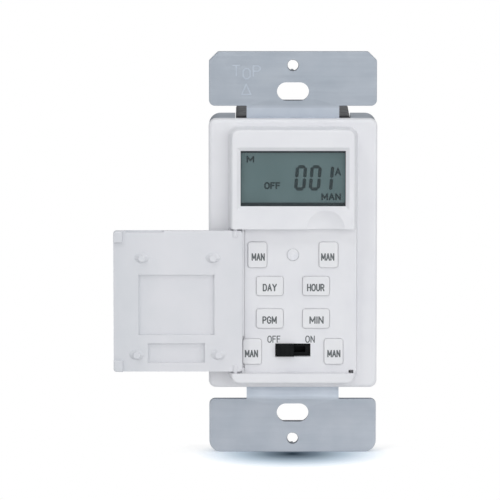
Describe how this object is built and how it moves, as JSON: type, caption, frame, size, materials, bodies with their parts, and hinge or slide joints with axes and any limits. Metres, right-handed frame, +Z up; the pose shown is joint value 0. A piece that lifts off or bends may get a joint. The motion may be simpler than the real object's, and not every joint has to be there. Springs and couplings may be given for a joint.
{
  "type": "timer light switch",
  "caption": "In-wall digital timer switch with display, hinged door, keys, slide switch and mounting strap.",
  "frame": {"origin": "midway between the two wall-plate screw holes, on the back of the strap's ears", "axes": "+X to the right and +Z up as seen from the room, +Y into the wall"},
  "size_m": [0.0675, 0.0392, 0.104],
  "materials": {
    "zinc_steel": "zinc-plated sheet steel, satin",
    "white_plastic": "white thermoplastic, satin",
    "door_plastic": "white thermoplastic, satin",
    "key_plastic": "white thermoplastic, satin",
    "pale_plastic": "white thermoplastic, matte",
    "clear_lens": "clear acrylic, polished",
    "display_glass": "grey-green liquid crystal display",
    "contact_rubber": "layered conductive silicone",
    "circuit_board": "glass-epoxy laminate with green resist",
    "plated_screws": "zinc-plated steel",
    "chip_black": "black moulding compound",
    "nickel": "nickel-plated steel",
    "spring_metal": "plated spring steel",
    "frosted_lens": "milky translucent acrylic",
    "knob_black": "black thermoplastic, satin",
    "brass_parts": "brass",
    "housing_grey": "dark grey thermoset, fine texture",
    "bare_label": "bare silver film",
    "green_screw": "green-dyed plated steel",
    "fibre_sheet": "grey vulcanised fibre",
    "relay_case": "blue moulded case",
    "film_case": "yellow moulded case",
    "can_sleeve": "shrunk plastic sleeve on an aluminium can",
    "disc_coating": "blue epoxy coating",
    "ferrite": "ferrite and enamelled wire"
  },
  "bodies": {
    "chassis": {"mounting_strap": "zinc_steel", "front_cover": "white_plastic", "display_window": "clear_lens", "lcd_panel": "display_glass", "lcd_frame": "pale_plastic", "zebra_connector": "contact_rubber", "control_board": "circuit_board", "board_screws": "plated_screws", "microcontroller": "chip_black", "clock_crystal": "nickel", "backup_battery": "nickel", "battery_clip": "spring_metal", "board_header": "chip_black", "board_socket": "chip_black", "switch_bodies": "chip_black", "indicator_light_pipe": "frosted_lens", "indicator_led": "frosted_lens", "slide_switch_body": "knob_black", "rear_housing": "housing_grey", "rating_label": "bare_label", "housing_screws": "plated_screws", "terminal_plates": "brass_parts", "terminal_clamps": "spring_metal", "terminal_screws": "brass_parts", "ground_screw": "green_screw", "insulating_barrier": "fibre_sheet", "power_board": "circuit_board", "relay": "relay_case", "film_capacitor": "film_case", "electrolytic_capacitor": "can_sleeve", "surge_varistor": "disc_coating", "fuse": "chip_black", "bridge_rectifier": "chip_black", "power_inductor": "ferrite"},
    "door": {"timer_door": "door_plastic"},
    "power_slider": {"slide_knob": "knob_black", "slide_contact": "brass_parts"},
    "manual_upper_left_key": {"key_manual_upper_left": "key_plastic", "plunger_manual_upper_left": "chip_black"},
    "manual_upper_right_key": {"key_manual_upper_right": "key_plastic", "plunger_manual_upper_right": "chip_black"},
    "day_key": {"key_day": "key_plastic", "plunger_day": "chip_black"},
    "hour_key": {"key_hour": "key_plastic", "plunger_hour": "chip_black"},
    "program_key": {"key_program": "key_plastic", "plunger_program": "chip_black"},
    "minute_key": {"key_minute": "key_plastic", "plunger_minute": "chip_black"},
    "manual_lower_left_key": {"key_manual_lower_left": "key_plastic", "plunger_manual_lower_left": "chip_black"},
    "manual_lower_right_key": {"key_manual_lower_right": "key_plastic", "plunger_manual_lower_right": "chip_black"}
  },
  "joints": [
    {"name": "door_hinge", "type": "hinge", "parent": "chassis", "child": "door", "pos_m": [-0.01477, -0.0085, -0.01147], "axis": [0, 0, 1], "range_deg": [0, 180]},
    {"name": "power_slide", "type": "slide", "parent": "chassis", "child": "power_slider", "axis": [1, 0, 0], "range_m": [0, 0.004]},
    {"name": "manual_upper_left_press", "type": "slide", "parent": "chassis", "child": "manual_upper_left_key", "axis": [0, 1, 0], "range_m": [0, 0.0005], "stiffness_N_per_m": 600},
    {"name": "manual_upper_right_press", "type": "slide", "parent": "chassis", "child": "manual_upper_right_key", "axis": [0, 1, 0], "range_m": [0, 0.0005], "stiffness_N_per_m": 600},
    {"name": "day_press", "type": "slide", "parent": "chassis", "child": "day_key", "axis": [0, 1, 0], "range_m": [0, 0.0005], "stiffness_N_per_m": 600},
    {"name": "hour_press", "type": "slide", "parent": "chassis", "child": "hour_key", "axis": [0, 1, 0], "range_m": [0, 0.0005], "stiffness_N_per_m": 600},
    {"name": "program_press", "type": "slide", "parent": "chassis", "child": "program_key", "axis": [0, 1, 0], "range_m": [0, 0.0005], "stiffness_N_per_m": 600},
    {"name": "minute_press", "type": "slide", "parent": "chassis", "child": "minute_key", "axis": [0, 1, 0], "range_m": [0, 0.0005], "stiffness_N_per_m": 600},
    {"name": "manual_lower_left_press", "type": "slide", "parent": "chassis", "child": "manual_lower_left_key", "axis": [0, 1, 0], "range_m": [0, 0.0005], "stiffness_N_per_m": 600},
    {"name": "manual_lower_right_press", "type": "slide", "parent": "chassis", "child": "manual_lower_right_key", "axis": [0, 1, 0], "range_m": [0, 0.0005], "stiffness_N_per_m": 600}
  ]
}
